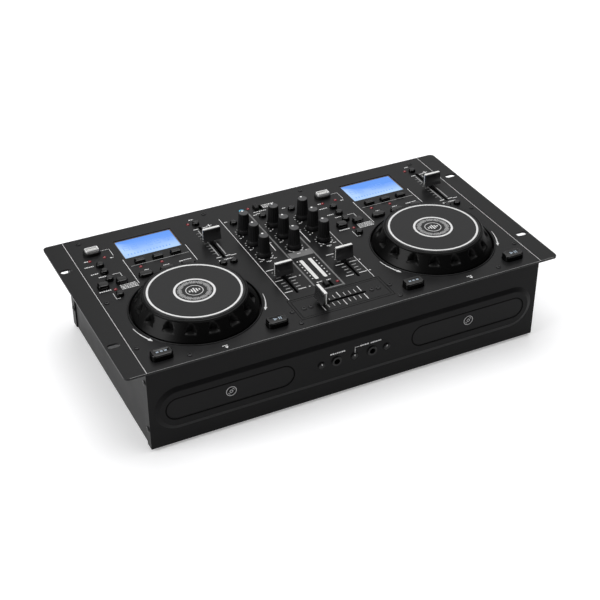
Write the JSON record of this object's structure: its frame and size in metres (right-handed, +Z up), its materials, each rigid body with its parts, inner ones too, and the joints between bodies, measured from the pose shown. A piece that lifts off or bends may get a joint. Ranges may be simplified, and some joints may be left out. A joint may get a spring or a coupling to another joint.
{
  "type": "dual disc player with mixer",
  "caption": "Rack-plate twin disc player with jog wheels, sliding disc trays and a central mixer of knobs, faders, keys and front jacks.",
  "frame": {"origin": "on the surface it stands on, under the middle of the rack plate", "axes": "+X to the user's right, +Y to the back, +Z up; the rack plate's length lies along X"},
  "size_m": [0.4826, 0.257, 0.122],
  "materials": {
    "black_plate": "satin",
    "black_case": "satin",
    "foot_rubber": "matte",
    "black_screws": "black zinc",
    "red_lens": "gloss",
    "meter_bar": "matte",
    "circuit_board": "solder mask",
    "socket_metal": "polished",
    "socket_plastic": "matte",
    "inner_metal": "plain",
    "display_glass": "backlit",
    "usb_metal": "polished",
    "well_plastic": "matte",
    "drive_plastic": "matte",
    "jog_gloss": "gloss",
    "jog_face": "fine matte",
    "tray_plastic": "matte",
    "key_plastic": "satin",
    "knob_rubber": "soft-touch",
    "fader_plastic": "satin"
  },
  "bodies": {
    "case": {"top_plate": "black_plate", "chassis": "black_case", "front_panel": "black_case", "rear_panel": "black_case", "rubber_feet": "foot_rubber", "screws": "black_screws", "crossfader_plate": "black_plate", "indicator_lenses": "red_lens", "level_meter_bars": "meter_bar", "circuit_boards": "circuit_board", "power_supply": "circuit_board", "front_jacks": "socket_metal", "rear_sockets": "socket_plastic", "fader_bodies": "inner_metal", "potentiometers": "inner_metal", "displays": "display_glass", "usb_sockets": "usb_metal", "jog_wells": "well_plastic", "drive_frames": "drive_plastic"},
    "left_jog_wheel": {"left_jog_grip": "jog_gloss", "left_jog_disc": "jog_face"},
    "left_disc_drawer": {"left_disc_tray": "tray_plastic", "left_tray_fascia": "tray_plastic"},
    "left_disc_spindle": {"left_disc_spindle": "drive_plastic"},
    "left_cue_key": {"left_cue_key": "key_plastic"},
    "left_play_key": {"left_play_key": "key_plastic"},
    "left_display_keys": {"left_display_keys": "key_plastic"},
    "left_side_keys": {"left_side_keys": "key_plastic"},
    "left_pitch_fader": {"left_pitch_fader_cap": "fader_plastic"},
    "left_channel_fader": {"left_channel_fader_cap": "fader_plastic"},
    "right_jog_wheel": {"right_jog_grip": "jog_gloss", "right_jog_disc": "jog_face"},
    "right_disc_drawer": {"right_disc_tray": "tray_plastic", "right_tray_fascia": "tray_plastic"},
    "right_disc_spindle": {"right_disc_spindle": "drive_plastic"},
    "right_cue_key": {"right_cue_key": "key_plastic"},
    "right_play_key": {"right_play_key": "key_plastic"},
    "right_display_keys": {"right_display_keys": "key_plastic"},
    "right_side_keys": {"right_side_keys": "key_plastic"},
    "right_pitch_fader": {"right_pitch_fader_cap": "fader_plastic"},
    "right_channel_fader": {"right_channel_fader_cap": "fader_plastic"},
    "crossfader": {"crossfader_cap": "fader_plastic"},
    "left_top_knob": {"left_top_knob": "knob_rubber"},
    "left_middle_knob": {"left_middle_knob": "knob_rubber"},
    "left_bottom_knob": {"left_bottom_knob": "knob_rubber"},
    "left_mixer_button": {"left_mixer_button": "key_plastic"},
    "middle_top_knob": {"middle_top_knob": "knob_rubber"},
    "middle_middle_knob": {"middle_middle_knob": "knob_rubber"},
    "middle_bottom_knob": {"middle_bottom_knob": "knob_rubber"},
    "middle_mixer_button": {"middle_mixer_button": "key_plastic"},
    "right_top_knob": {"right_top_knob": "knob_rubber"},
    "right_middle_knob": {"right_middle_knob": "knob_rubber"},
    "right_bottom_knob": {"right_bottom_knob": "knob_rubber"},
    "right_mixer_button": {"right_mixer_button": "key_plastic"},
    "left_front_knob": {"left_front_knob": "knob_rubber"},
    "middle_front_knob": {"middle_front_knob": "knob_rubber"},
    "right_front_knob": {"right_front_knob": "knob_rubber"},
    "microphone_switch": {"microphone_switch": "key_plastic"},
    "crossfader_switch": {"crossfader_switch": "key_plastic"},
    "power_rocker": {"power_rocker": "socket_plastic"}
  },
  "joints": [
    {"name": "left_jog_spin", "type": "hinge", "parent": "case", "child": "left_jog_wheel", "pos_m": [-0.1369, -0.0451, 0.0975], "axis": [0, 0, 1], "continuous": true},
    {"name": "left_drawer_slide", "type": "slide", "parent": "case", "child": "left_disc_drawer", "axis": [0, -1, 0], "range_m": [0, 0.132]},
    {"name": "left_disc_spin", "type": "hinge", "parent": "case", "child": "left_disc_spindle", "pos_m": [-0.1353, -0.0566, 0.035], "axis": [0, 0, 1], "continuous": true},
    {"name": "left_cue_key_press", "type": "slide", "parent": "case", "child": "left_cue_key", "axis": [0, 0, -1], "range_m": [0, 0.001], "stiffness_N_per_m": 150, "springref_m": -0.002},
    {"name": "left_play_key_press", "type": "slide", "parent": "case", "child": "left_play_key", "axis": [0, 0, -1], "range_m": [0, 0.001], "stiffness_N_per_m": 150, "springref_m": -0.002},
    {"name": "left_display_keys_press", "type": "slide", "parent": "case", "child": "left_display_keys", "axis": [0, 0, -1], "range_m": [0, 0.001], "stiffness_N_per_m": 150, "springref_m": -0.002},
    {"name": "left_side_keys_press", "type": "slide", "parent": "case", "child": "left_side_keys", "axis": [0, 0, -1], "range_m": [0, 0.001], "stiffness_N_per_m": 150, "springref_m": -0.002},
    {"name": "left_pitch_slide", "type": "slide", "parent": "case", "child": "left_pitch_fader", "axis": [0, 1, 0], "range_m": [-0.03, 0.03]},
    {"name": "left_channel_slide", "type": "slide", "parent": "case", "child": "left_channel_fader", "axis": [0, 1, 0], "range_m": [-0.029, 0.016]},
    {"name": "right_jog_spin", "type": "hinge", "parent": "case", "child": "right_jog_wheel", "pos_m": [0.1369, -0.0451, 0.0975], "axis": [0, 0, 1], "continuous": true},
    {"name": "right_drawer_slide", "type": "slide", "parent": "case", "child": "right_disc_drawer", "axis": [0, -1, 0], "range_m": [0, 0.132]},
    {"name": "right_disc_spin", "type": "hinge", "parent": "case", "child": "right_disc_spindle", "pos_m": [0.1353, -0.0566, 0.035], "axis": [0, 0, 1], "continuous": true},
    {"name": "right_cue_key_press", "type": "slide", "parent": "case", "child": "right_cue_key", "axis": [0, 0, -1], "range_m": [0, 0.001], "stiffness_N_per_m": 150, "springref_m": -0.002},
    {"name": "right_play_key_press", "type": "slide", "parent": "case", "child": "right_play_key", "axis": [0, 0, -1], "range_m": [0, 0.001], "stiffness_N_per_m": 150, "springref_m": -0.002},
    {"name": "right_display_keys_press", "type": "slide", "parent": "case", "child": "right_display_keys", "axis": [0, 0, -1], "range_m": [0, 0.001], "stiffness_N_per_m": 150, "springref_m": -0.002},
    {"name": "right_side_keys_press", "type": "slide", "parent": "case", "child": "right_side_keys", "axis": [0, 0, -1], "range_m": [0, 0.001], "stiffness_N_per_m": 150, "springref_m": -0.002},
    {"name": "right_pitch_slide", "type": "slide", "parent": "case", "child": "right_pitch_fader", "axis": [0, 1, 0], "range_m": [-0.03, 0.03]},
    {"name": "right_channel_slide", "type": "slide", "parent": "case", "child": "right_channel_fader", "axis": [0, 1, 0], "range_m": [-0.029, 0.016]},
    {"name": "crossfader_slide", "type": "slide", "parent": "case", "child": "crossfader", "axis": [1, 0, 0], "range_m": [0, 0.045]},
    {"name": "left_top_knob_turn", "type": "hinge", "parent": "case", "child": "left_top_knob", "pos_m": [-0.0353, 0.0628, 0.0975], "axis": [0, 0, 1], "range_deg": [-150, 150]},
    {"name": "left_middle_knob_turn", "type": "hinge", "parent": "case", "child": "left_middle_knob", "pos_m": [-0.0353, 0.0369, 0.0975], "axis": [0, 0, 1], "range_deg": [-150, 150]},
    {"name": "left_bottom_knob_turn", "type": "hinge", "parent": "case", "child": "left_bottom_knob", "pos_m": [-0.0353, 0.011, 0.0975], "axis": [0, 0, 1], "range_deg": [-150, 150]},
    {"name": "left_mixer_button_press", "type": "slide", "parent": "case", "child": "left_mixer_button", "axis": [0, 0, -1], "range_m": [0, 0.001], "stiffness_N_per_m": 150, "springref_m": -0.002},
    {"name": "middle_top_knob_turn", "type": "hinge", "parent": "case", "child": "middle_top_knob", "pos_m": [0, 0.0628, 0.0975], "axis": [0, 0, 1], "range_deg": [-150, 150]},
    {"name": "middle_middle_knob_turn", "type": "hinge", "parent": "case", "child": "middle_middle_knob", "pos_m": [0, 0.0369, 0.0975], "axis": [0, 0, 1], "range_deg": [-150, 150]},
    {"name": "middle_bottom_knob_turn", "type": "hinge", "parent": "case", "child": "middle_bottom_knob", "pos_m": [0, 0.011, 0.0975], "axis": [0, 0, 1], "range_deg": [-150, 150]},
    {"name": "middle_mixer_button_press", "type": "slide", "parent": "case", "child": "middle_mixer_button", "axis": [0, 0, -1], "range_m": [0, 0.001], "stiffness_N_per_m": 150, "springref_m": -0.002},
    {"name": "right_top_knob_turn", "type": "hinge", "parent": "case", "child": "right_top_knob", "pos_m": [0.0353, 0.0628, 0.0975], "axis": [0, 0, 1], "range_deg": [-150, 150]},
    {"name": "right_middle_knob_turn", "type": "hinge", "parent": "case", "child": "right_middle_knob", "pos_m": [0.0353, 0.0369, 0.0975], "axis": [0, 0, 1], "range_deg": [-150, 150]},
    {"name": "right_bottom_knob_turn", "type": "hinge", "parent": "case", "child": "right_bottom_knob", "pos_m": [0.0353, 0.011, 0.0975], "axis": [0, 0, 1], "range_deg": [-150, 150]},
    {"name": "right_mixer_button_press", "type": "slide", "parent": "case", "child": "right_mixer_button", "axis": [0, 0, -1], "range_m": [0, 0.001], "stiffness_N_per_m": 150, "springref_m": -0.002},
    {"name": "left_front_knob_turn", "type": "hinge", "parent": "case", "child": "left_front_knob", "pos_m": [-0.0372, -0.125, 0.0452], "axis": [0, 1, 0], "range_deg": [-150, 150]},
    {"name": "middle_front_knob_turn", "type": "hinge", "parent": "case", "child": "middle_front_knob", "pos_m": [0, -0.125, 0.0452], "axis": [0, 1, 0], "range_deg": [-150, 150]},
    {"name": "right_front_knob_turn", "type": "hinge", "parent": "case", "child": "right_front_knob", "pos_m": [0.0372, -0.125, 0.0452], "axis": [0, 1, 0], "range_deg": [-150, 150]},
    {"name": "microphone_switch_slide", "type": "slide", "parent": "case", "child": "microphone_switch", "axis": [1, 0, 0], "range_m": [0, 0.0046]},
    {"name": "crossfader_switch_slide", "type": "slide", "parent": "case", "child": "crossfader_switch", "axis": [1, 0, 0], "range_m": [0, 0.0046]},
    {"name": "power_rocker_tilt", "type": "hinge", "parent": "case", "child": "power_rocker", "pos_m": [0.14, 0.1136, 0.045], "axis": [1, 0, 0], "range_deg": [0, 16]}
  ]
}
